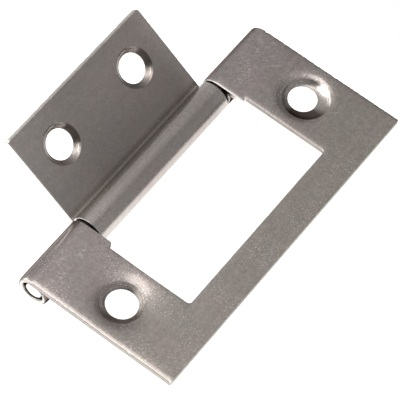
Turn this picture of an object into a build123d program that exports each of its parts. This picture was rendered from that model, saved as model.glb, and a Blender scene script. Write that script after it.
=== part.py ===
# Flush hinge of sheet steel for a cabinet door. The outer leaf has a window, the smaller inner
# leaf closes into that window, and a plain pin runs through their three rolled knuckles.
# Each piece is made with the pin's axis along Y and its leaf pointing along +X, and is then
# moved so that the origin lies midway between the outer leaf's screw holes, on the face that
# this leaf is screwed down on. All sizes are in millimetres.
from build123d import *
from math import cos, radians, sin, tan
import os

# Sheet and pin
sheet_thickness = 0.9
pin_diameter = 2.8
pin_end_chamfer = 0.3
pin_end_recess = 0.2            # from the end of the outer leaf to the end of the pin
pin_running_clearance = 0.04    # radial, in the inner leaf's knuckle
knuckle_end_gap = 0.4           # between the inner knuckle and each outer knuckle
roll_sweep = 305                # degrees that the sheet is rolled through round the pin, to a narrow seam
roll_lip_rounding = 0.15        # on the free edge of the roll

# Outer leaf: a reach runs from the pin's axis, and a length along the pin
outer_length = 50
outer_reach = 21.8
outer_corner_radius = 0.3
window_corner_radius = 0.5
ear_reach = 4.1                 # small ears narrow the window beside the inner knuckle
ear_step = 0.75                 # by which each ear narrows it
ear_corner_radius = 0.3
closed_leaf_gap = 1.4           # between the closed inner leaf and the window's far edge

# Inner leaf
inner_length = 27.1
inner_reach = 15.6
inner_corner_radius = 0.5
opening_angle = 215             # degrees that the inner leaf has turned from closed

# Countersunk screw holes
hole_diameter = 4.3
outer_countersink_angle = 110
outer_hole_reach = 10.05
outer_rim_diameter = 6.2
outer_rim_rounding = 0.6
inner_countersink_angle = 90
inner_hole_reach = 10.1
inner_hole_spacing = 15.3
inner_rim_diameter = 5.5
inner_rim_rounding = 0.08

# Edge break along the face where the punch goes in
punched_edge_break = 0.12

# Sizes that follow from those above
pin_radius = pin_diameter / 2
outer_bore_radius = pin_radius
inner_bore_radius = pin_radius + pin_running_clearance
knuckle_slot_length = inner_length + 2 * knuckle_end_gap
window_length = knuckle_slot_length + 2 * ear_step
window_reach = inner_reach + closed_leaf_gap
outer_hole_spacing = (outer_length + window_length) / 2     # midway along each end strip
through = 4 * (pin_radius + sheet_thickness)


def point_at(radius, angle):
    return (radius * cos(radians(angle)), radius * sin(radians(angle)))


# Sheet that runs in from the leaf's far edge, is tangent to the top of its knuckle and rolls
# round the pin. The section is drawn along the pin and given the leaf's length.
def rolled_sheet(bore_radius, reach, length):
    roll_radius = bore_radius + sheet_thickness
    roll_end = 90 + roll_sweep
    lip_height = point_at(roll_radius, roll_end)[1]
    outline = [
        Line((reach, roll_radius), (0, roll_radius)),
        CenterArc((0, 0), roll_radius, 90, roll_sweep),
        Line(point_at(roll_radius, roll_end), point_at(bore_radius, roll_end)),
        CenterArc((0, 0), bore_radius, roll_end, -roll_sweep),
        Line((0, bore_radius), (reach, bore_radius)),
        Line((reach, bore_radius), (reach, roll_radius)),
    ]
    section = Plane.XZ * make_face(outline)
    sheet = extrude(section, length / 2, both=True)
    lip = sheet.edges().filter_by(Axis.Y).filter_by(lambda edge: abs(edge.center().Z - lip_height) < 0.001)
    return fillet(lip, roll_lip_rounding)


# Cutter for one countersunk hole, with the face that is screwed down at z = 0 and the wide
# mouth at z = sheet_thickness.
def screw_hole(rim_diameter, cone_angle):
    hole_radius = hole_diameter / 2
    rim_radius = rim_diameter / 2
    cone_depth = (rim_radius - hole_radius) / tan(radians(cone_angle / 2))
    drill = Cylinder(hole_radius, through)
    cone = Cone(hole_radius, rim_radius, cone_depth, align=(Align.CENTER, Align.CENTER, Align.MAX))
    return drill + Pos(0, 0, sheet_thickness) * cone


# Softens the mouths of countersinks whose rim has the given diameter.
def soften_rims(leaf, rim_diameter, rounding):
    rims = leaf.edges().filter_by(GeomType.CIRCLE).filter_by(
        lambda edge: abs(edge.radius - rim_diameter / 2) < 0.001
    )
    return fillet(rims, rounding)


# Breaks the outline's edges on the leaf's face that is tangent to the knuckle, holes left out.
def break_outline(leaf, roll_radius):
    face = leaf.faces().filter_by(Plane.XY).filter_by(
        lambda side: abs(side.center().Z - roll_radius) < 0.001
    )[0]
    edges = face.edges().filter_by(
        lambda edge: edge.is_closed is False and not (
            edge.geom_type == GeomType.LINE and abs(edge.center().X) < 0.001
        )
    )
    return chamfer(edges, punched_edge_break)


# The window, with its narrower part between the ears, as one cutter that also parts the
# two outer knuckles.
def window_cutter():
    clear_of_knuckle = through / 2
    window = Pos(ear_reach, 0) * Rectangle(
        window_reach - ear_reach, window_length, align=(Align.MIN, Align.CENTER)
    )
    slot = Pos(ear_reach, 0) * Rectangle(
        ear_reach + clear_of_knuckle, knuckle_slot_length, align=(Align.MAX, Align.CENTER)
    )
    outline = window + slot
    far_corners = outline.vertices().group_by(Axis.X)[-1]
    outline = fillet(far_corners, window_corner_radius)
    ear_corners = outline.vertices().filter_by(lambda v: abs(v.X - ear_reach) < 0.001)
    outline = fillet(ear_corners, ear_corner_radius)
    return extrude(outline, through, both=True)


def outer_leaf():
    roll_radius = outer_bore_radius + sheet_thickness
    leaf = rolled_sheet(outer_bore_radius, outer_reach, outer_length)
    far_corners = leaf.edges().filter_by(Axis.Z).group_by(Axis.X)[-1]
    leaf = fillet(far_corners, outer_corner_radius)
    leaf -= window_cutter()
    leaf = break_outline(leaf, roll_radius)
    for side in (-1, 1):
        place = Pos(outer_hole_reach, side * outer_hole_spacing / 2, outer_bore_radius)
        leaf -= place * screw_hole(outer_rim_diameter, outer_countersink_angle)
    return soften_rims(leaf, outer_rim_diameter, outer_rim_rounding)


def inner_leaf():
    roll_radius = inner_bore_radius + sheet_thickness
    leaf = rolled_sheet(inner_bore_radius, inner_reach, inner_length)
    far_corners = leaf.edges().filter_by(Axis.Z).group_by(Axis.X)[-1]
    leaf = fillet(far_corners, inner_corner_radius)
    leaf = break_outline(leaf, roll_radius)
    # This leaf is screwed down on its tangent face, so its countersinks open on the other one.
    for side in (-1, 1):
        place = Pos(inner_hole_reach, side * inner_hole_spacing / 2, roll_radius)
        leaf -= place * Rot(180, 0, 0) * screw_hole(inner_rim_diameter, inner_countersink_angle)
    leaf = soften_rims(leaf, inner_rim_diameter, inner_rim_rounding)
    return Rot(0, opening_angle, 0) * leaf


def hinge_pin():
    pin = Rot(90, 0, 0) * Cylinder(pin_radius, outer_length - 2 * pin_end_recess)
    return chamfer(pin.edges().filter_by(GeomType.CIRCLE), pin_end_chamfer)


pieces = {
    "outer_leaf": outer_leaf(),
    "inner_leaf": inner_leaf(),
    "hinge_pin": hinge_pin(),
}

os.makedirs("parts", exist_ok=True)
to_screw_centre = Pos(-outer_hole_reach, 0, -outer_bore_radius)
for name, piece in pieces.items():
    export_step(to_screw_centre * piece, f"parts/{name}.step")
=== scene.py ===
import math
import bpy
import numpy as np
from mathutils import Matrix, Vector
from mathutils.geometry import delaunay_2d_cdt


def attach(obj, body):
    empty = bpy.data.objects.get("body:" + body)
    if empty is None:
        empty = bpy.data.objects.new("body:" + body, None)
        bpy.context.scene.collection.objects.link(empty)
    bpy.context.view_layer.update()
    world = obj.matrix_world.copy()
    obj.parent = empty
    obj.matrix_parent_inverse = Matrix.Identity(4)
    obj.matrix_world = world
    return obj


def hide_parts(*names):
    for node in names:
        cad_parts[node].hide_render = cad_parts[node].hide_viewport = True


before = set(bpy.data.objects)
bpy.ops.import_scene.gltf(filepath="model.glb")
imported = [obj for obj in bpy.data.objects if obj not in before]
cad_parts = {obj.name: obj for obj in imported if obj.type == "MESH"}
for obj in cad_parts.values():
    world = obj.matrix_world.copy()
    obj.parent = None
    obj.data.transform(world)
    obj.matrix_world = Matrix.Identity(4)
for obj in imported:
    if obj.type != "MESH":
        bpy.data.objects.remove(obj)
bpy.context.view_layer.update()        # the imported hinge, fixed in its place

print("hinge loaded:", sorted(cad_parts))

# Sizes of the hinge in millimetres. A leaf is described before it is rolled: reach runs from the
# pin towards the leaf's far edge and is negative round the roll, length runs along the pin, and
# depth goes through the sheet from the face that is tangent to the roll.
mm = 0.001
hinge = {"sheet": 0.9, "rollDegrees": 305, "pinAxis": (-10.05, 0.0, -1.4), "pinLength": 49.6}


# Where a point of the flat sheet lies on the finished leaf: up to the tangent line the sheet is
# flat, and beyond it the reach becomes an arc round the pin. The leaf then turns about the pin.
def rolledPlace(reach, length, depth, leaf):
    radius = leaf["rollRadius"] - depth
    angle = np.pi / 2 - np.minimum(reach, 0) / leaf["rollRadius"]
    across = np.where(reach < 0, radius * np.cos(angle), reach)
    height = np.where(reach < 0, radius * np.sin(angle), radius)
    turn = math.radians(leaf["turned"])
    axis = hinge["pinAxis"]
    east = across * math.cos(turn) + height * math.sin(turn) + axis[0]
    up = height * math.cos(turn) - across * math.sin(turn) + axis[2]
    return np.stack([east, length + axis[1], up], -1)


# Depth that the face gives way by at a punched edge, falling off exponentially from the edge.
def faceDrop(away, leaf):
    return leaf["dropDepth"] * np.exp(-away / leaf["dropFade"])


# Unevenness of the sheet: a few long sine waves crossing each other, a sag round each hole that
# falls off exponentially and is deeper on one side, and on the tangent face the far end of the
# give beside the two end edges. That face is let in by the waves' height, to stay in its bounds.
def sheetWave(reach, length, depth, leaf):
    total = sum(wave[0] for wave in leaf["waves"]) * (1 - depth / hinge["sheet"])
    for height, pitch, direction, phase in leaf["waves"]:
        along = reach * math.cos(direction) + length * math.sin(direction)
        total = total + height * np.sin(2 * np.pi * along / pitch + phase)
    for hole in leaf["holes"]:
        away = np.stack([reach, length], -1) - np.array(hole["at"])
        radius = np.maximum(np.linalg.norm(away, axis=-1), hole["sagStart"])
        facing = away @ np.array([math.cos(hole["sagSide"]), math.sin(hole["sagSide"])]) / radius
        sag = hole["sag"] * (1 + hole["sagBias"] * facing)
        total = total + sag * np.exp((hole["sagStart"] - radius) / hole["sagFade"])
    for side, share in leaf["endDrops"]:
        away = np.maximum(leaf["length"] / 2 - side * length, leaf["rimWidth"])
        total = total + share * faceDrop(away, leaf) * (1 - depth / hinge["sheet"])
    return total


# The outline's corners, their radii, the direction of the side that follows each, and the number
# of steps that this side is divided into between its two corners' arcs.
def outlineSides(leaf):
    corners = np.array([c["at"] for c in leaf["corners"]], float)
    radii = np.array([c["radius"] for c in leaf["corners"]], float)
    steps = np.array([c["step"] for c in leaf["corners"]], float)
    sides = np.roll(corners, -1, 0) - corners
    lengths = np.linalg.norm(sides, axis=1)
    counts = np.maximum(2, np.round((lengths - radii - np.roll(radii, -1)) / steps)).astype(int)
    return corners, radii, sides / lengths[:, None], counts


# One loop of the outline, with each edge moved inwards by its own inset: a corner slides along
# its two edges' inward normals and is rounded by an arc, and the edges are divided evenly.
def outlineLoop(leaf, insets):
    corners, radii, ahead, counts = outlineSides(leaf)
    behind = np.roll(ahead, 1, 0)
    inward = np.stack([-ahead[:, 1], ahead[:, 0]], -1)
    insets = np.broadcast_to(insets, radii.shape)[:, None]
    moved = corners + insets * inward + np.roll(insets * inward, 1, 0)
    turns = np.linspace(0, np.pi / 2, leaf["arcSteps"] + 1)[:, None]
    loop = []
    for i, count in enumerate(counts):
        centre = moved[i] + radii[i] * (ahead[i] - behind[i])
        arc = centre + radii[i] * (behind[i] * np.sin(turns) - ahead[i] * np.cos(turns))
        j = (i + 1) % len(counts)
        end = moved[j] - behind[j] * radii[j]
        share = np.linspace(0, 1, count + 1)[1:-1, None]
        loop += [arc, arc[-1] + share * (end - arc[-1])]
    return np.concatenate(loop)


# How far each point of the outline's loop moves for each millimetre that its inset grows by.
def inwardAt(leaf, inset):
    nudge = 0.01
    return (outlineLoop(leaf, inset + nudge) - outlineLoop(leaf, inset)) / nudge


# A value that each edge gives, at every point of the outline's loop: it blends round the corners.
def alongOutline(leaf, key):
    values = np.array([leaf["edges"][c["edge"]][key] for c in leaf["corners"]], float)
    turns = np.linspace(0, 1, leaf["arcSteps"] + 1)
    loop = []
    for i, count in enumerate(outlineSides(leaf)[-1]):
        loop += [values[i - 1] + turns * (values[i] - values[i - 1]), np.full(count - 1, values[i])]
    return np.concatenate(loop)


# True for each point that lies inside the closed loop, by counting the edges to its right. A level
# edge is never crossed, and its rise is only kept off zero.
def insideLoop(points, loop):
    x, y = points[:, :1], points[:, 1:]
    nextLoop = np.roll(loop, -1, 0)
    crosses = (loop[:, 1] > y) != (nextLoop[:, 1] > y)
    rise = np.where(nextLoop[:, 1] == loop[:, 1], 1e-9, nextLoop[:, 1] - loop[:, 1])
    at = loop[:, 0] + (y - loop[:, 1]) * (nextLoop[:, 0] - loop[:, 0]) / rise
    return (crosses & (x < at)).sum(1) % 2 == 1


# Quads between neighbouring points of closed loops, where grid[i, k] is the point i along the
# loop and k across the profile.
def loopQuads(grid):
    ahead = np.roll(grid, -1, 0)
    quads = np.stack([grid[:, :-1], grid[:, 1:], ahead[:, 1:], ahead[:, :-1]], -1)
    return quads.reshape(-1, 4)


# How the rows of an edge are set out, the same for both leaves
edgeForm = {
    "faceRows": 8, "crowding": 1.4,     # rows of the face that gives way, crowded towards the lip
    "wornShare": 0.4,                   # share of that face over which bare metal fades out
    "lipRows": 5, "cutRise": 1.4,       # rows of the lip, and how fast cut metal fades out over it
    "openMouth": 0.15,                  # flare from which a knuckle's mouth is an open, bare end
    "leastFlare": 0.3,                  # at the top and bottom of a knuckle, as share of the most
    "mouthShade": 1.6,                   # painted shade in an open mouth over its flare, up to 1
    "raggedRows": slice(6, -3),         # rows that a ragged edge shifts
    "raggedBlend": 0.6,                 # how much of a jag its neighbours share
}


# The outline's edge as rows of loops, from the tangent face round to the other face. The face
# first gives way gently, turns down in an arc of the edge's lip radius and drops through a smooth
# band; a torn band, set back a little, follows, and a fine burr. The last rows draw back into the
# leaf: at the mouths of the knuckles with the sine squared of the angle round the pin, and on the
# flat part as the edge is soft. Returns plan, depth, cut share, and the share of dirt and painted
# shade, as (point, row).
def edgeRows(leaf):
    lips = np.array([leaf["edges"][c["edge"]]["lip"] for c in leaf["corners"]])
    lip, drop, cut, shine, mouth, soft, ragged, gapShade, edgeShade = [
        alongOutline(leaf, key)
        for key in ("lip", "drop", "cut", "shine", "mouth", "soft", "ragged", "gapShade", "edgeShade")
    ]
    rim = leaf["rimWidth"]
    plans, depths, cuts, dirtAndShadeRows = [], [], [], []
    for share in np.linspace(1, 0, edgeForm["faceRows"]):
        spread = share ** edgeForm["crowding"]
        away = lip + (rim - lip) * spread
        plans.append(outlineLoop(leaf, lips + (rim - lips) * spread))
        depths.append(drop * (faceDrop(away, leaf) - faceDrop(rim, leaf)))
        cuts.append(shine * max(0, 1 - spread / edgeForm["wornShare"]))
        dirtAndShadeRows.append(np.zeros_like(lip))
    for share in np.linspace(0, 1, edgeForm["lipRows"] + 1)[1:]:
        turn = share * np.pi / 2
        away = lip * (1 - math.sin(turn))
        plans.append(outlineLoop(leaf, lips * (1 - math.sin(turn))))
        depths.append(drop * (faceDrop(away, leaf) - faceDrop(rim, leaf)) + lip * (1 - math.cos(turn)))
        cuts.append(np.maximum(shine, cut * max(0, 1 - edgeForm["cutRise"] * (1 - share))))
        dirtAndShadeRows.append(np.zeros_like(lip))
    openEnd = mouth > edgeForm["openMouth"]
    for inset, depth, share, flare, soil in leaf["cutRows"]:
        plan = outlineLoop(leaf, inset)
        rolled = np.clip(-plan[:, 0], 0, 1)
        swing = np.sin(plan[:, 0] / leaf["rollRadius"]) ** 2
        level = edgeForm["leastFlare"] + (1 - edgeForm["leastFlare"]) * swing
        back = flare * (mouth * rolled * level + soft * (1 - rolled))
        plans.append(plan + inwardAt(leaf, inset) * back[:, None])
        depths.append(np.full_like(lip, depth))
        cuts.append(np.maximum(cut, rolled * openEnd) * share)
        # painted shade inside a knuckle's open mouth, strongest where it flares
        inMouth = rolled * openEnd * level * min(1, edgeForm["mouthShade"] * flare)
        # painted shade on the rolled edge in the gaps between the knuckles
        inGap = rolled * gapShade
        # painted shade on the edge's cut face, in open mouths and in the gaps, with dirt on the torn
        # band of open ends
        dirtAndShadeRows.append(np.maximum.reduce([inMouth, inGap, edgeShade * share, soil * openEnd]))
    noise = np.random.default_rng(leaf["seed"]).normal(size=len(lip))
    noise = np.abs(noise + edgeForm["raggedBlend"] * (np.roll(noise, 1) + np.roll(noise, -1)))
    inward = inwardAt(leaf, 0.0)
    for k in range(len(plans))[edgeForm["raggedRows"]]:
        flat = np.clip(1 + plans[k][:, 0], 0, 1)
        plans[k] = plans[k] + inward * (flat * ragged * noise)[:, None]
    return [np.stack(rows, 1) for rows in (plans, depths, cuts, dirtAndShadeRows)]


# Smooth curve through points, as a Catmull-Rom spline with the same number of steps in each span.
def smoothCurve(points, steps):
    points = np.array(points, float)
    padded = np.concatenate([2 * points[:1] - points[1:2], points, 2 * points[-1:] - points[-2:-1]])
    a, b, c, d = padded[:-3, None], padded[1:-2, None], padded[2:-1, None], padded[3:, None]
    t = np.linspace(0, 1, steps, endpoint=False)[None, :, None]
    curve = 0.5 * (2 * b + (c - a) * t + (2 * a - 5 * b + 4 * c - d) * t ** 2
                   + (3 * b - a - 3 * c + d) * t ** 3)
    return np.concatenate([curve.reshape(-1, points.shape[1]), points[-1:]])


# How far the radius of a hole's last rows lies past its bore's, with their depth, share of cut
# metal and share of painted shade, and how sharply a painted shade in a hole ends
boreRows = [(0.0, 0.86, 1, 1), (0.01, 0.89, 0.6, 0.5), (0.04, 0.9, 0, 0), (0.2, 0.9, 0, 0)]
paintedShadeSharpness = 1.8


# A countersunk hole as rows of circles, from the face that it opens on: a smooth curve through
# the mouth's points, with fine tool rings on the cone, and then the punched bore. The cone and the
# bore stray from the hole's centre by their own amounts. A painted shade darkens one side of the
# cone: it is strongest at its side of the hole, fades out with the cosine of the angle from there,
# and leaves out the face.
def holeRows(leaf, hole):
    mouth = hole["mouth"]
    rim, cone, bore = mouth["section"][0][0], mouth["coneRadius"], mouth["boreRadius"]
    radius, depth, cut, dirtAndShade = smoothCurve(mouth["section"], mouth["steps"]).T
    down = np.clip((cone - radius) / (cone - bore), 0, 1)
    ripple = np.sin(2 * np.pi * mouth["rings"] * down) * np.sin(np.pi * down)
    rows = np.concatenate([
        np.stack([radius, depth + mouth["ringHeight"] * ripple, cut, dirtAndShade], -1),
        np.array(boreRows) + [bore, 0, 0, 0],
        [[rim, hinge["sheet"], 0, 0]],
    ])
    if leaf["holesOpenOnRollSide"]:
        rows = rows[::-1] * [1, -1, 1, 1] + [0, hinge["sheet"], 0, 0]
    radius, depth, cut, dirtAndShade = rows.T
    around = -np.linspace(0, 2 * np.pi, leaf["holeSteps"], endpoint=False)[:, None]
    ring = np.stack([np.cos(around), np.sin(around)], -1) * radius[:, None]
    inCone = np.clip((rim - radius) / (rim - cone), 0, 1)
    inBore = np.clip((cone - radius) / (cone - bore), 0, 1)
    stray = ((inCone * (1 - inBore))[:, None] * np.array(hole["coneStray"])
             + inBore[:, None] * np.array(hole["boreStray"]))
    # painted shade that darkens one side of the cone
    for share, side, halfWidth in hole["paintedShades"]:
        facing = (np.cos(around - side) - math.cos(halfWidth)) / (1 - math.cos(halfWidth))
        paintedShade = share * np.clip(paintedShadeSharpness * facing, 0, 1)
        dirtAndShade = np.maximum(dirtAndShade, paintedShade * (inCone > 0.999))
    same = np.ones((leaf["holeSteps"], 1))
    return ring + stray + np.array(hole["at"]), same * depth, same * cut, same * dirtAndShade


# The lattice that fills a face: reaches where its fine part ends and its coarse one starts, how
# many steps it keeps off the outline's and the holes' loops, and the distance that counts as none
lattice = {"fineTo": 0.3, "coarseFrom": 0.6, "offOutline": 0.25, "offHoles": 0.35, "nil": 1e-7}


# Fills a face between the outline's innermost loop and the holes' outermost ones: a lattice of
# points, finer round the roll, is joined up with the loops into triangles, and those outside the
# outline or in a hole are left out. Returns the lattice's points, and the triangles, in which the
# loops' points count first.
def fillFace(name, leaf, loops):
    loopEdges, start = [], 0
    for loop in loops:
        here = np.arange(start, start + len(loop))
        loopEdges.append(np.stack([here, np.roll(here, -1)], -1))
        start += len(loop)
    step, halfLength = leaf["flatStep"], leaf["length"] / 2
    rollEnd = leaf["corners"][0]["at"][0]
    reaches = np.concatenate([np.arange(rollEnd, lattice["fineTo"], leaf["rollStep"]),
                              np.arange(lattice["coarseFrom"], leaf["reach"], step)])
    lengths = np.linspace(-halfLength, halfLength, round(leaf["length"] / step))
    free = np.stack(np.meshgrid(reaches, lengths, indexing="ij"), -1).reshape(-1, 2)
    keep = insideLoop(free, outlineLoop(leaf, leaf["rimWidth"] + lattice["offOutline"] * step))
    for hole in leaf["holes"]:
        away = np.linalg.norm(free - np.array(hole["at"]), axis=1)
        keep &= away > hole["mouth"]["section"][0][0] + lattice["offHoles"] * step
    points = np.concatenate(loops + [free[keep]])
    found = delaunay_2d_cdt([Vector(p) for p in points.tolist()],
                            np.concatenate(loopEdges).tolist(), [], 0, lattice["nil"], True)
    places, triangles = np.array(found[0]), np.array(found[2])
    middle = places[triangles].mean(1)
    inside = insideLoop(middle, loops[0])
    for hole in leaf["holes"]:
        away = np.linalg.norm(middle - np.array(hole["at"]), axis=1)
        inside &= away > hole["mouth"]["section"][0][0] * math.cos(np.pi / leaf["holeSteps"])
    source = np.array([ids[0] if ids else -1 for ids in found[3]])
    if (source < 0).any() or len(places) != len(points):
        raise ValueError(name + ": the face's fill crosses its own edges")
    return points[start:], source[triangles[inside]]


def addObject(name, data):
    made = bpy.data.objects.new(name, data)
    bpy.context.scene.collection.objects.link(made)
    return made


# Makes a smooth piece from faces and from points in millimetres.
def addPiece(name, points, faces):
    mesh = bpy.data.meshes.new(name)
    mesh.from_pydata(points * mm, [], faces)
    mesh.polygons.foreach_set("use_smooth", np.ones(len(mesh.polygons), bool))
    mesh.validate()
    mesh.update()
    print(name, "built:", len(points), "points")
    return addObject(name, mesh)


# Builds one leaf from the outline's rows, each hole's rows and a fill of both faces between them.
def buildLeaf(name, leaf):
    plan, depth, cut, dirtAndShade, faces = [], [], [], [], []
    count = 0

    def addPoints(places, depths, cuts, dirtAndShadeRows):
        nonlocal count
        plan.append(places.reshape(-1, 2))
        depth.append(depths.ravel())
        cut.append(cuts.ravel())
        dirtAndShade.append(dirtAndShadeRows.ravel())
        count += depths.size
        return count - depths.size + np.arange(depths.size).reshape(depths.shape)

    edges = [addPoints(*edgeRows(leaf))] + [addPoints(*holeRows(leaf, hole)) for hole in leaf["holes"]]
    faces += [loopQuads(grid) for grid in edges]

    # The fill joins the rows' first points on the tangent face, and their last points on the other.
    edgePoints = np.concatenate(plan)
    free, triangles = fillFace(name, leaf, [edgePoints[grid[:, 0]] for grid in edges])
    none = np.zeros(len(free))
    for column, level, order in ((0, 0.0, 1), (-1, hinge["sheet"], -1)):
        extra = addPoints(free, none + level, none, none)
        ids = np.concatenate([grid[:, column] for grid in edges] + [extra])
        faces.append(ids[triangles[:, ::order]])

    plan, depth = np.concatenate(plan), np.concatenate(depth)
    reach, length = plan.T
    place = rolledPlace(reach, length, depth + sheetWave(reach, length, depth, leaf), leaf)
    made = addPiece(name, place, [row for block in faces for row in block.tolist()])
    sheetPlace = made.data.attributes.new("sheetPlace", "FLOAT_VECTOR", "POINT")
    sheetPlace.data.foreach_set("vector", (np.stack([reach, length, depth], -1) * mm).ravel())
    for key, values in (("cutShare", cut), ("dirtAndShadeShare", dirtAndShade)):
        share = made.data.attributes.new(key, "FLOAT", "POINT")
        share.data.foreach_set("value", np.concatenate(values).astype(np.float32))
    return made


# Rows of a cut edge: inset, depth, share of cut metal, share of the flare or softness, share of dirt
cutRows = [
    (0.0, 0.36, 1, 0, 0), (0.012, 0.43, 1, 0, 0), (0.03, 0.64, 1, 0, 0.1),
    (0.03, 0.67, 0.6, 0.08, 0.6), (0.002, 0.72, 0.8, 0.35, 0.3), (0.008, 0.81, 1, 0.7, 0),
    (0.014, 0.87, 1, 0.9, 0), (0.045, 0.9, 0.5, 1, 0), (0.1, 0.9, 0, 1, 0), (0.3, 0.9, 0, 0.6, 0),
    (0.5, 0.9, 0, 0.1, 0), (0.7, 0.9, 0, 0, 0),
]
softCutRows = [
    (0.0, 0.36, 1, 0, 0), (0.012, 0.43, 1, 0, 0), (0.02, 0.6, 1, 0.05, 0),
    (0.006, 0.68, 1, 0.35, 0), (0.02, 0.76, 1, 0.7, 0), (0.06, 0.84, 0.9, 0.9, 0),
    (0.12, 0.882, 0.6, 1, 0), (0.2, 0.9, 0, 1, 0), (0.32, 0.9, 0, 0.6, 0), (0.5, 0.9, 0, 0.1, 0),
    (0.7, 0.9, 0, 0, 0),
]
# Sections of the countersinks: radius, depth, share of cut metal, share of painted shade
deepMouth = {
    "section": [
        (4.15, 0, 0, 0), (3.85, 0.02, 0, 0), (3.6, 0.07, 0, 0), (3.36, 0.15, 0, 0),
        (3.16, 0.27, 0, 0.05), (2.84, 0.52, 0.1, 0.1), (2.46, 0.74, 0.1, 0.15),
        (2.15, 0.82, 0.2, 0.3), (2.0, 0.845, 0.4, 0.6),
    ],
    "steps": 5, "coneRadius": 3.2, "boreRadius": 2.0, "rings": 6, "ringHeight": 0.006,
}
ringedMouth = {
    "section": [
        (4.15, 0, 0, 0), (3.6, 0.02, 0, 0), (3.25, 0.05, 0, 0), (3.0, 0.1, 0, 0.05),
        (2.83, 0.19, 0, 0.15), (2.65, 0.35, 0, 0.15), (2.42, 0.57, 0.1, 0.2),
        (2.22, 0.75, 0.2, 0.5), (2.15, 0.8, 0.4, 0.6),
    ],
    "steps": 7, "coneRadius": 3.1, "boreRadius": 2.15, "rings": 5, "ringHeight": 0.03,
}
crispMouth = {
    "section": [
        (3.3, 0, 0, 0), (3.0, 0.01, 0, 0), (2.84, 0.035, 0, 0.05), (2.74, 0.1, 0, 0.1),
        (2.6, 0.22, 0, 0.08), (2.4, 0.42, 0, 0.08), (2.18, 0.6, 0, 0.2), (2.08, 0.68, 0, 0.6),
    ],
    "steps": 5, "coneRadius": 2.8, "boreRadius": 2.08, "rings": 3, "ringHeight": 0.005,
}


# Reach at which a sheet of this roll radius ends, all the way round its roll.
def rollEndOf(rollRadius):
    return -rollRadius * math.radians(hinge["rollDegrees"])


# A corner of the outline, named with the edge that follows it and the spacing of points along it.
def cornerValues(reach, length, radius, step, edge):
    return {"at": (reach, length), "radius": radius, "step": step, "edge": edge}


# How far an edge gives way, the radius of its lip, how bright it is cut and how worn bare before
# it, how far the mouth of its knuckle flares, how soft its other side is, how ragged it is, and
# the painted shade on it in the knuckles' gaps and along the whole edge.
def edgeValues(drop=0.0, lip=0.06, cut=0.0, shine=0.0, mouth=0.0, soft=0.0, ragged=0.0, gapShade=0.0,
               edgeShade=0.0):
    return {"drop": drop, "lip": lip, "cut": cut, "shine": shine, "mouth": mouth, "soft": soft,
            "ragged": ragged, "gapShade": gapShade, "edgeShade": edgeShade}


# A hole's centre and section, its painted shades on the cone with their share, side and half
# width, how far its cone and bore stray from the centre, and the sag round it with its deeper side.
def holeValues(at, mouth, paintedShades, coneStray=(0.0, 0.0), boreStray=(0.0, 0.0), sag=0.0, sagStart=3.3,
               sagFade=1.0, sagSide=0.0, sagBias=0.0):
    return {"at": at, "mouth": mouth, "paintedShades": paintedShades, "coneStray": coneStray,
            "boreStray": boreStray, "sag": sag, "sagStart": sagStart, "sagFade": sagFade,
            "sagSide": sagSide, "sagBias": sagBias}


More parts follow.
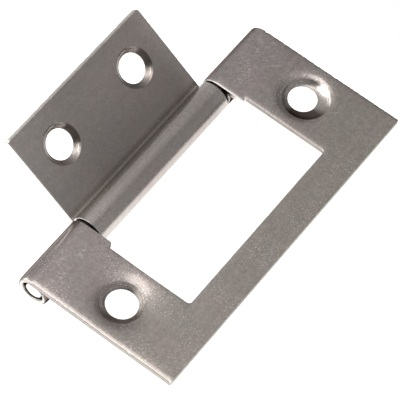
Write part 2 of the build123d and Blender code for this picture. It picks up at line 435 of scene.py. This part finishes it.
outerRollRadius = 2.3
outerRollEnd = rollEndOf(outerRollRadius)
outerLeafShape = {
    "rollRadius": outerRollRadius, "turned": 0, "reach": 21.8, "length": 50, "seed": 3,
    "arcSteps": 6, "holeSteps": 120, "rollStep": 0.2, "flatStep": 0.6, "rimWidth": 0.7,
    "dropDepth": 0.165, "dropFade": 0.35, "holesOpenOnRollSide": False, "cutRows": cutRows,
    "corners": [
        cornerValues(outerRollEnd, -25, 0.1, 0.12, "nearEnd"),
        cornerValues(21.8, -25, 0.15, 0.6, "longSide"),
        cornerValues(21.8, 25, 0.15, 0.12, "farEnd"),
        cornerValues(outerRollEnd, 25, 0.1, 0.6, "rollEnd"),
        cornerValues(outerRollEnd, 13.95, 0.1, 0.2, "farSlot"),
        cornerValues(4.1, 13.95, 0.3, 0.1, "farSlot"),
        cornerValues(4.1, 14.7, 0.3, 0.5, "farWindowSide"),
        cornerValues(17.0, 14.7, 0.5, 0.6, "windowEnd"),
        cornerValues(17.0, -14.7, 0.5, 0.5, "nearWindowSide"),
        cornerValues(4.1, -14.7, 0.3, 0.1, "nearSlot"),
        cornerValues(4.1, -13.95, 0.3, 0.2, "nearSlot"),
        cornerValues(outerRollEnd, -13.95, 0.1, 0.6, "rollEnd"),
    ],
    "edges": {
        "nearEnd": edgeValues(drop=0.95, lip=0.08, cut=0.5, shine=0.12, mouth=0.24, ragged=0.004),
        "longSide": edgeValues(drop=0.06, lip=0.05, cut=0.9, ragged=0.003),
        "farEnd": edgeValues(drop=0.2, lip=0.07, cut=0.8, mouth=0.24, ragged=0.028),
        "rollEnd": edgeValues(lip=0.08, cut=0.6),
        # the slot edges carry painted shade in the gaps beside the inner knuckle
        "nearSlot": edgeValues(drop=0.1, lip=0.04, cut=0.3, mouth=0.1, gapShade=0.9, edgeShade=0.6),
        "farSlot": edgeValues(drop=0.5, lip=0.06, cut=1.0, shine=0.5, mouth=0.1, gapShade=0.5),
        "farWindowSide": edgeValues(drop=0.3, lip=0.08, cut=0.1, shine=0.15, edgeShade=0.3),
        "windowEnd": edgeValues(drop=0.35, lip=0.06, cut=0.8, ragged=0.005),
        "nearWindowSide": edgeValues(drop=0.2, lip=0.06, cut=0.8),
    },
    # side and share of the give that runs on over the face
    "endDrops": [(-1, 1.0), (1, 0.2)],
    # height, pitch, direction and phase of each wave
    "waves": [(0.006, 19.0, 0.4, 0.3), (0.004, 11.0, 1.9, 1.2), (0.002, 5.3, 1.1, 2.0)],
    # each outer hole has painted shade on one side of its cone
    "holes": [
        holeValues((10.05, 19.85), deepMouth, [(0.92, -0.98, 1.1)], coneStray=(0.3, -0.05),
                   boreStray=(-0.18, 0.02), sag=0.04, sagFade=0.8, sagSide=1.2, sagBias=0.3),
        holeValues((10.05, -19.85), ringedMouth, [(0.6, -0.95, 1.2)], boreStray=(0.1, 0.17),
                   sag=0.2, sagFade=1.4, sagSide=0.85, sagBias=0.65),
    ],
}
outerLeaf = buildLeaf("outerLeafSheet", outerLeafShape)

innerRollRadius = 2.34
innerRollEnd = rollEndOf(innerRollRadius)
# painted shade on two sides of each inner hole's cone
innerPaintedShades = [(0.8, 1.62, 0.75), (0.92, -0.95, 1.25)]
innerLeafShape = {
    "rollRadius": innerRollRadius, "turned": 215, "reach": 15.6, "length": 27.1, "seed": 5,
    "arcSteps": 8, "holeSteps": 120, "rollStep": 0.2, "flatStep": 0.6, "rimWidth": 0.7,
    "dropDepth": 0.165, "dropFade": 0.35, "holesOpenOnRollSide": True, "cutRows": softCutRows,
    "corners": [
        cornerValues(innerRollEnd, -13.55, 0.1, 0.2, "nearEnd"),
        cornerValues(15.6, -13.55, 0.35, 0.3, "farSide"),
        cornerValues(15.6, 13.55, 0.6, 0.2, "farEnd"),
        cornerValues(innerRollEnd, 13.55, 0.1, 0.6, "rollEnd"),
    ],
    "edges": {
        "nearEnd": edgeValues(drop=0.0, lip=0.06, cut=0.8, mouth=0.1, gapShade=0.95),
        "farSide": edgeValues(drop=0.05, lip=0.165, cut=0.75, soft=0.1, ragged=0.015),
        "farEnd": edgeValues(drop=0.1, lip=0.06, cut=0.5, mouth=0.1, gapShade=0.95),
        "rollEnd": edgeValues(lip=0.08, cut=0.4),
    },
    "endDrops": [],
    "waves": [(0.005, 17.0, 0.9, 0.0), (0.003, 9.0, 2.4, 0.7), (0.002, 4.7, 0.2, 1.5)],
    "holes": [
        holeValues((10.1, 7.65), crispMouth, innerPaintedShades),
        holeValues((10.1, -7.65), crispMouth, innerPaintedShades),
    ],
}
innerLeaf = buildLeaf("innerLeafSheet", innerLeafShape)

pinShape = {
    "steps": 96,
    # radius and distance from the pin's end
    "end": [
        (0.0, 0.0), (0.6, 0.004), (1.0, 0.015), (1.14, 0.04), (1.2, 0.09), (1.23, 0.16), (1.25, 0.3),
        (1.29, 0.55), (1.34, 0.85), (1.38, 1.15), (1.4, 1.5),
    ],
}


# The pin is a profile of radius against length, turned about the pin's axis and closed by fans.
def buildPin(name, pin):
    end = np.array(pin["end"])
    half = hinge["pinLength"] / 2
    radius = np.concatenate([end[1:, 0], end[:0:-1, 0]])
    along = np.concatenate([end[1:, 1] - half, half - end[:0:-1, 1]])
    turn = np.linspace(0, 2 * np.pi, pin["steps"], endpoint=False)[:, None]
    axis = np.array(hinge["pinAxis"])
    ring = np.stack(np.broadcast_arrays(radius * np.cos(turn), along, radius * np.sin(turn)), -1)
    grid = np.arange(radius.size * pin["steps"]).reshape(pin["steps"], -1)
    ahead = np.roll(grid, -1, 0)
    tip = np.full(pin["steps"], grid.size)
    first = np.stack([tip, grid[:, 0], ahead[:, 0]], -1)
    last = np.stack([tip + 1, ahead[:, -1], grid[:, -1]], -1)
    points = np.concatenate([ring.reshape(-1, 3), [[0, -half, 0], [0, half, 0]]]) + axis
    return addPiece(name, points, loopQuads(grid).tolist() + first.tolist() + last.tolist())


hingePin = buildPin("hingePinWire", pinShape)


# Adds a node to a tree. Inputs are given by name or number, as values or as another node's output.
def addNode(tree, kind, inputs=None, **settings):
    made = tree.nodes.new(kind)
    for key, value in settings.items():
        setattr(made, key, value)
    for key, value in (inputs or {}).items():
        if isinstance(value, bpy.types.NodeSocket):
            tree.links.new(value, made.inputs[key])
        else:
            made.inputs[key].default_value = value
    return made


# Gives a material or world an empty tree.
def emptyTree(data):
    data.use_nodes = True
    data.node_tree.nodes.clear()
    return data.node_tree


def mathNode(tree, operation, a, b=0.0):
    return addNode(tree, "ShaderNodeMath", {0: a, 1: b}, operation=operation).outputs[0]


# Adds up values, each times its weight.
def weightedSum(tree, *terms):
    parts = [mathNode(tree, "MULTIPLY", value, weight) for value, weight in terms]
    total = parts[0]
    for part in parts[1:]:
        total = mathNode(tree, "ADD", total, part)
    return total


# Carries a value from one range to another, held at both ends and if asked eased there.
def rangeNode(tree, value, low, high, newLow=0.0, newHigh=1.0, smooth=False):
    kind = "SMOOTHSTEP" if smooth else "LINEAR"
    return addNode(tree, "ShaderNodeMapRange", {
        "Value": value, "From Min": low, "From Max": high, "To Min": newLow, "To Max": newHigh,
    }, interpolation_type=kind).outputs[0]


def mixColour(tree, share, a, b):
    return addNode(tree, "ShaderNodeMix", {0: share, 6: a, 7: b}, data_type="RGBA").outputs[2]


def vectorNode(tree, operation, inputs):
    return addNode(tree, "ShaderNodeVectorMath", inputs, operation=operation).outputs[0]


def noiseNode(tree, place, scale, detail, roughness, stretch=None):
    if stretch:
        place = addNode(tree, "ShaderNodeMapping", {"Vector": place, "Scale": stretch}).outputs[0]
    return addNode(tree, "ShaderNodeTexNoise", {
        "Vector": place, "Scale": scale, "Detail": detail, "Roughness": roughness,
    }).outputs["Fac"]


# Pattern of the plating
plating = {
    # scale, detail, roughness and stretch of each noise
    "noises": {
        "clouds": (210, 3.0, 0.6), "mottle": (2300, 2.0, 0.7), "pits": (4200, 2.0, 0.6),
        "broad": (1050, 2.0, 0.5), "grain": (1500, 3.0, 0.65, (1.0, 0.09, 1.0)),
        "specks": (4600, 1.0, 0.5), "speckSwarms": (160, 1.0, 0.5), "scratchSwarms": (260, 1.0, 0.4),
        "scuffSwarms": (340, 1.0, 0.5),
    },
    # the same for those that run at a slant, in radians
    "slant": 0.75,
    "slanted": {
        "scratches": (2600, 1.0, 0.4, (1.0, 0.07, 1.0)), "scuffs": (3100, 1.0, 0.5, (1.0, 0.4, 1.0)),
    },
    # from where and to where in its noise a mark fades in
    "marks": {
        "specks": (0.58, 0.72), "speckSwarms": (0.42, 0.6), "scratches": (0.67, 0.74),
        "scratchSwarms": (0.5, 0.62), "scuffs": (0.52, 0.66), "scuffSwarms": (0.42, 0.56),
    },
    "scratchStrength": 0.45,
    # what each blend is made of, and between which levels tint and polish change
    "tint": {"clouds": 0.65, "mottle": 0.35}, "tintLevels": (0.36, 0.64),
    "blotch": {"mottle": 0.5, "pits": 0.2, "broad": 0.3},
    "polish": {"mottle": 0.5, "pits": 0.5}, "polishLevels": (0.35, 0.65),
    "relief": {"pits": 0.5, "grain": 0.35, "bright": 0.4},
}


# Bright zinc over rolled sheet: cloudy tint, grain drawn out along the pin, blotches and pits, and
# bright specks, scratches and scuffs that each come in swarms.
def zincPlateGroup():
    group = bpy.data.node_groups.new("zincPlate", "ShaderNodeTree")
    for kind, names in (
        ("NodeSocketVector", ("Place",)),
        ("NodeSocketColor", ("Warm", "Cool", "Fresh", "Dull")),
        ("NodeSocketFloat", ("Cut", "DirtAndPaintedShade", "Scuff", "Grain", "Mottle", "Specks", "Smooth", "Rough")),
    ):
        for name in names:
            group.interface.new_socket(name, in_out="INPUT", socket_type=kind)
    for name, kind in (("Colour", "NodeSocketColor"), ("Roughness", "NodeSocketFloat"),
                       ("Height", "NodeSocketFloat")):
        group.interface.new_socket(name, in_out="OUTPUT", socket_type=kind)
    given = addNode(group, "NodeGroupInput").outputs
    place = given["Place"]
    slanted = addNode(group, "ShaderNodeMapping", {
        "Vector": place, "Rotation": (0.0, 0.0, plating["slant"]),
    }).outputs[0]
    layers = {name: noiseNode(group, place, *form) for name, form in plating["noises"].items()}
    for name, form in plating["slanted"].items():
        layers[name] = noiseNode(group, slanted, *form)

    def blend(key):
        return weightedSum(group, *[(layers[name], share) for name, share in plating[key].items()])

    def marks(name, swarms):
        shares = [rangeNode(group, layers[key], *plating["marks"][key]) for key in (name, swarms)]
        return mathNode(group, "MULTIPLY", *shares)

    colour = mixColour(group, rangeNode(group, blend("tint"), *plating["tintLevels"], smooth=True),
                       given["Warm"], given["Cool"])
    uneven = weightedSum(group, (layers["grain"], given["Grain"]), (blend("blotch"), given["Mottle"]))
    middle = mathNode(group, "MULTIPLY", mathNode(group, "ADD", given["Grain"], given["Mottle"]), 0.5)
    shade = mathNode(group, "ADD", mathNode(group, "SUBTRACT", uneven, middle), 1.0)
    colour = vectorNode(group, "SCALE", {0: colour, "Scale": shade})
    bright = marks("specks", "speckSwarms")
    for name, swarms, strength in (("scratches", "scratchSwarms", plating["scratchStrength"]),
                                   ("scuffs", "scuffSwarms", given["Scuff"])):
        faint = mathNode(group, "MULTIPLY", marks(name, swarms), strength)
        bright = mathNode(group, "MAXIMUM", bright, faint)
    layers["bright"] = bright
    # Specks and cut metal mix in the fresh colour, and the dark share mixes in the dull one. That share
    # is painted shade in gaps, holes, knuckle mouths and under the knuckles, with real dirt on torn
    # bands. The cut share also carries painted highlights.
    for share, shown in ((mathNode(group, "MULTIPLY", bright, given["Specks"]), given["Fresh"]),
                         (given["Cut"], given["Fresh"]), (given["DirtAndPaintedShade"], given["Dull"])):
        colour = mixColour(group, share, colour, shown)
    rough = rangeNode(group, blend("polish"), *plating["polishLevels"], given["Smooth"], given["Rough"])
    addNode(group, "NodeGroupOutput", {"Colour": colour, "Roughness": rough, "Height": blend("relief")})
    return group


zincPlate = zincPlateGroup()


# A share that patches add to: each patch is its strength times the bands that bound it, and where
# the piece's own share is more than all its patches together, that one counts.
def patchedShare(tree, own, patches, coordinates):
    if not patches:
        return own
    total = 0.0
    for strength, bands in patches:
        for name, start, full, smooth in bands:
            value, unit = coordinates[name]
            band = rangeNode(tree, value, start * unit, full * unit, smooth=smooth)
            strength = mathNode(tree, "MULTIPLY", strength, band)
        total = mathNode(tree, "ADD", total, strength)
    return mathNode(tree, "MAXIMUM", own, total)


# The plating with one piece's values. On a leaf it follows the flat sheet through the mesh's own
# attributes, and its colour shifts towards the far edge.
def zincMaterial(name, values, followsSheet=True):
    material = bpy.data.materials.new(name)
    tree = emptyTree(material)
    if followsSheet:
        place, cut, dirtAndShade = [
            addNode(tree, "ShaderNodeAttribute", attribute_name=key).outputs[output]
            for key, output in (("sheetPlace", "Vector"), ("cutShare", "Fac"), ("dirtAndShadeShare", "Fac"))
        ]
        reach, length, depth = addNode(tree, "ShaderNodeSeparateXYZ", {0: place}).outputs
        coordinates = {
            "reach": (reach, mm), "length": (length, mm), "depth": (depth, mm), "cut": (cut, 1),
        }
    else:
        place = addNode(tree, "ShaderNodeTexCoord").outputs["Object"]
        cut = dirtAndShade = 0.0
        along = addNode(tree, "ShaderNodeSeparateXYZ", {0: place}).outputs["Y"]
        coordinates = {"fromMiddle": (mathNode(tree, "ABSOLUTE", along), mm)}
    given = {"Place": place}
    for key, own in (("Cut", cut), ("DirtAndPaintedShade", dirtAndShade), ("Scuff", 0.0)):
        given[key] = patchedShare(tree, own, values["patches"].get(key), coordinates)
    for key in ("Warm", "Cool", "Fresh", "Dull", "Grain", "Mottle", "Specks", "Smooth", "Rough"):
        given[key] = values[key.lower()]
    zinc = addNode(tree, "ShaderNodeGroup", given, node_tree=zincPlate)
    colour = zinc.outputs["Colour"]
    if followsSheet:
        low, high = values["farTintReach"]
        farShare = rangeNode(tree, reach, low * mm, high * mm)
        tint = mixColour(tree, farShare, (1, 1, 1, 1), values["farTint"])
        colour = vectorNode(tree, "MULTIPLY", {0: colour, 1: tint})
    bump = addNode(tree, "ShaderNodeBump", {
        "Height": zinc.outputs["Height"], "Strength": values["bump"], "Distance": values["bumpDepth"],
    })
    shader = addNode(tree, "ShaderNodeBsdfPrincipled", {
        "Metallic": 1.0, "Base Color": colour, "Roughness": zinc.outputs["Roughness"],
        "Specular Tint": values["edgeTint"], "Normal": bump.outputs[0],
    })
    addNode(tree, "ShaderNodeOutputMaterial", {"Surface": shader.outputs[0]})
    return material


# Finishes. A patch is its strength and its bands. A band names a place on the flat sheet, the share
# of cut metal or the distance from the pin's middle, and says where it starts and where it is
# full, in millimetres or as a share, and whether it is eased at both.
outerZinc = {
    "warm": (0.41, 0.35, 0.345, 1), "cool": (0.39, 0.35, 0.335, 1),
    "fresh": (0.9, 0.88, 0.85, 1), "dull": (0.10, 0.075, 0.065, 1),
    # edgeTint dims the metal's reflection at grazing angles; on the outer leaf it is painted shade that
    # darkens the knuckles' silhouettes
    "edgeTint": (0.15, 0.15, 0.14, 1), "farTint": (1.0, 1.02, 0.97, 1), "farTintReach": (3, 16),
    "grain": 0.3, "mottle": 1.1, "specks": 0.42, "smooth": 0.16, "rough": 0.25,
    "bump": 0.3, "bumpDepth": 0.00004,
    "patches": {
        # painted shade on the underside of the knuckles, apart from its cut edges
        "DirtAndPaintedShade": [(0.93, [("reach", -1.8, -3.1, True), ("cut", 1, 0, False)])],
        # the bend from the face into the knuckles
        "Scuff": [(0.55, [("reach", 4.6, 2.8, False), ("reach", -1.0, 0.4, False)])],
    },
}
innerZinc = {
    "warm": (0.475, 0.415, 0.395, 1), "cool": (0.445, 0.415, 0.395, 1),
    "fresh": (0.88, 0.86, 0.83, 1), "dull": (0.10, 0.075, 0.065, 1),
    "edgeTint": (0.85, 0.85, 0.84, 1), "farTint": (1.02, 1.01, 0.99, 1), "farTintReach": (3, 16),
    "grain": 0.2, "mottle": 0.75, "specks": 0.25, "smooth": 0.18, "rough": 0.3,
    "bump": 0.2, "bumpDepth": 0.00004,
    "patches": {
        "DirtAndPaintedShade": [
            # painted shade beside the knuckle, growing towards it
            (0.33, [("reach", 14.0, 1.0, True), ("reach", -0.5, 0.5, False)]),
            # painted shade towards the far end, fading out at the near end
            (0.22, [("length", 13.8, 10.5, True), ("length", -13.5, -3.0, True)]),
        ],
        "Cut": [
            # painted highlight: a light band along the knuckle, in place of the leaf's bright edge that
            # it mirrors
            (0.32, [("reach", -9.2, -10.4, True)]),
            # painted highlight along the crease beside the knuckle
            (0.9, [("reach", 1.85, 2.0, False), ("reach", 2.4, 2.2, False),
                   ("depth", 0.7, 0.85, False)]),
        ],
    },
}
pinZinc = {
    "warm": (0.86, 0.82, 0.80, 1), "cool": (0.84, 0.82, 0.79, 1),
    "fresh": (0.9, 0.88, 0.86, 1), "dull": (0.06, 0.05, 0.045, 1),
    "edgeTint": (1.0, 1.0, 1.0, 1),
    "grain": 0.1, "mottle": 0.2, "specks": 0.3, "smooth": 0.28, "rough": 0.4,
    "bump": 0.3, "bumpDepth": 0.00004,
    # painted shade on the pin in the knuckles, behind the ends
    "patches": {"DirtAndPaintedShade": [(1.0, [("fromMiddle", 24.7, 24.4, False)])]},
}
outerLeaf.data.materials.append(zincMaterial("outerLeafZinc", outerZinc))
innerLeaf.data.materials.append(zincMaterial("innerLeafZinc", innerZinc))
hingePin.data.materials.append(zincMaterial("hingePinZinc", pinZinc, followsSheet=False))
print("finishes made")

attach(outerLeaf, "fixed_side")
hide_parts("outer_leaf")
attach(hingePin, "fixed_side")
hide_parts("hinge_pin")
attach(innerLeaf, "swinging_side")
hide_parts("inner_leaf")

# Floor, surroundings and camera
floorValues = {
    "height": -0.0178, "low": (-0.1, -0.1), "high": (0.1, 0.045), "roughness": 0.9,
    "colour": (0.86, 0.86, 0.86, 1), "lift": 0.5,
    # the same as the metal mirrors it, and the distances over which the lift fades out there
    "mirroredFarColour": (0.4, 0.4, 0.4, 1), "mirroredLift": 1.0, "mirroredFade": (0.03, 0.11),
}
roomValues = {
    "level": 0.26, "belowHorizon": 0.25, "horizon": (-0.1, 0.05),
    # direction, degrees from it where the panel fades out and where it is full, brightness, tint
    "panels": [
        ((-0.24, -0.04, 0.97), 45, 0, 0.59, (1.0, 0.99, 0.975)),
        ((-0.24, -0.04, 0.97), 20, 6, 1.5, (1.0, 0.99, 0.975)),
        ((-0.60, -0.45, 0.66), 27, 13, 3.2, (1.0, 0.99, 0.97)),
        ((-0.90, -0.16, 0.42), 32, 8, 0.35, (1.0, 0.99, 0.97)),
        ((-0.96, -0.17, 0.14), 28, 12, 2.8, (1.0, 0.99, 0.97)),
        ((0.90, 0.10, 0.40), 80, 20, 0.22, (1.0, 1.0, 1.0)),
        ((-0.93, 0.20, 0.30), 60, 15, 0.33, (0.98, 0.99, 1.0)),
    ],
}
fillValues = {"place": (-0.12, -0.1, 0.5), "size": 0.5, "power": 0.5}
cameraValues = {
    "place": (0.077633, -0.149729, 0.282596), "target": (-0.001387, -0.001285, 0.0),
    "roll": 10.21, "lens": 229.53, "sensor": 36, "clip": (0.01, 20),
}


# White paper under the hinge. It glows for the camera, and for the metal near by.
def makeFloor(values):
    (west, south), (east, north) = values["low"], values["high"]
    mesh = bpy.data.meshes.new("studioFloor")
    corners = [(x, y, values["height"]) for x, y in ((west, south), (east, south), (east, north),
                                                     (west, north))]
    mesh.from_pydata(corners, [], [(0, 1, 2, 3)])
    material = bpy.data.materials.new("studioPaper")
    tree = emptyTree(material)
    ray = addNode(tree, "ShaderNodeLightPath").outputs
    seen = mathNode(tree, "MAXIMUM", ray["Is Camera Ray"], ray["Is Transmission Ray"])
    place = addNode(tree, "ShaderNodeTexCoord").outputs["Object"]
    away = addNode(tree, "ShaderNodeVectorMath", {0: place}, operation="LENGTH").outputs["Value"]
    away = mathNode(tree, "MULTIPLY", rangeNode(tree, away, *values["mirroredFade"], smooth=True),
                    ray["Is Glossy Ray"])
    paper = mixColour(tree, away, values["colour"], values["mirroredFarColour"])
    mirrored = mathNode(tree, "MULTIPLY", ray["Is Glossy Ray"], mathNode(tree, "SUBTRACT", 1.0, away))
    glow = mathNode(tree, "MAXIMUM", mathNode(tree, "MULTIPLY", seen, values["lift"]),
                    mathNode(tree, "MULTIPLY", mirrored, values["mirroredLift"]))
    shader = addNode(tree, "ShaderNodeBsdfPrincipled", {
        "Base Color": paper, "Roughness": values["roughness"], "Specular IOR Level": 0.0,
        "Emission Color": (1, 1, 1, 1), "Emission Strength": glow,
    })
    addNode(tree, "ShaderNodeOutputMaterial", {"Surface": shader.outputs[0]})
    mesh.materials.append(material)
    addObject("studioFloor", mesh)


# The light that the metal mirrors: a grey room, darker below the horizon, and soft round panels
# that fade out with the cosine of the angle from their middle. The camera sees plain white.
def makeRoom(values):
    world = bpy.data.worlds.new("studioRoom")
    bpy.context.scene.world = world
    tree = emptyTree(world)
    direction = addNode(tree, "ShaderNodeTexCoord").outputs["Generated"]
    rise = addNode(tree, "ShaderNodeSeparateXYZ", {0: direction}).outputs["Z"]
    level = rangeNode(tree, rise, *values["horizon"], values["belowHorizon"], values["level"],
                      smooth=True)
    light = addNode(tree, "ShaderNodeCombineXYZ", {0: level, 1: level, 2: level}).outputs[0]
    for axis, fadeOut, full, brightness, tint in values["panels"]:
        low, high = math.cos(math.radians(fadeOut)), math.cos(math.radians(full))
        toward = addNode(tree, "ShaderNodeVectorMath", {0: direction, 1: Vector(axis).normalized()},
                         operation="DOT_PRODUCT").outputs["Value"]
        share = rangeNode(tree, toward, low, high, 0.0, brightness, smooth=True)
        panel = vectorNode(tree, "SCALE", {0: tint, "Scale": share})
        light = vectorNode(tree, "ADD", {0: light, 1: panel})
    lit = addNode(tree, "ShaderNodeBackground", {"Color": light, "Strength": 1.0}).outputs[0]
    seen = addNode(tree, "ShaderNodeBackground", {"Color": (1, 1, 1, 1), "Strength": 1.0}).outputs[0]
    ray = addNode(tree, "ShaderNodeLightPath").outputs["Is Camera Ray"]
    mixed = addNode(tree, "ShaderNodeMixShader", {0: ray, 1: lit, 2: seen}).outputs[0]
    addNode(tree, "ShaderNodeOutputWorld", {"Surface": mixed})


# A wide lamp that lights the paper and plain surfaces, and isn't mirrored in the metal.
def makeFill(values):
    data = bpy.data.lights.new("softFill", "AREA")
    data.shape = "DISK"
    data.size = values["size"]
    data.energy = values["power"]
    made = addObject("softFill", data)
    place = Vector(values["place"])
    made.matrix_world = Matrix.Translation(place) @ place.to_track_quat("Z", "Y").to_matrix().to_4x4()
    made.visible_glossy = False


# A camera at the given place, aimed at a point and turned about its own axis by roll degrees.
def makeCamera(values):
    place, target = Vector(values["place"]), Vector(values["target"])
    back = (place - target).normalized()
    level = Vector((0, 0, 1)).cross(back).normalized()
    upright = back.cross(level)
    roll = math.radians(values["roll"])
    right = level * math.cos(roll) + upright * math.sin(roll)
    up = upright * math.cos(roll) - level * math.sin(roll)
    data = bpy.data.cameras.new("photoCamera")
    data.sensor_width = values["sensor"]
    data.lens = values["lens"]
    data.clip_start, data.clip_end = values["clip"]
    made = addObject("photoCamera", data)
    turned = Matrix((right, up, back)).transposed().to_4x4()
    made.matrix_world = Matrix.Translation(place) @ turned
    bpy.context.scene.camera = made


makeFloor(floorValues)
makeRoom(roomValues)
makeFill(fillValues)
makeCamera(cameraValues)
bpy.context.scene.view_settings.view_transform = "Standard"
print("studio made")
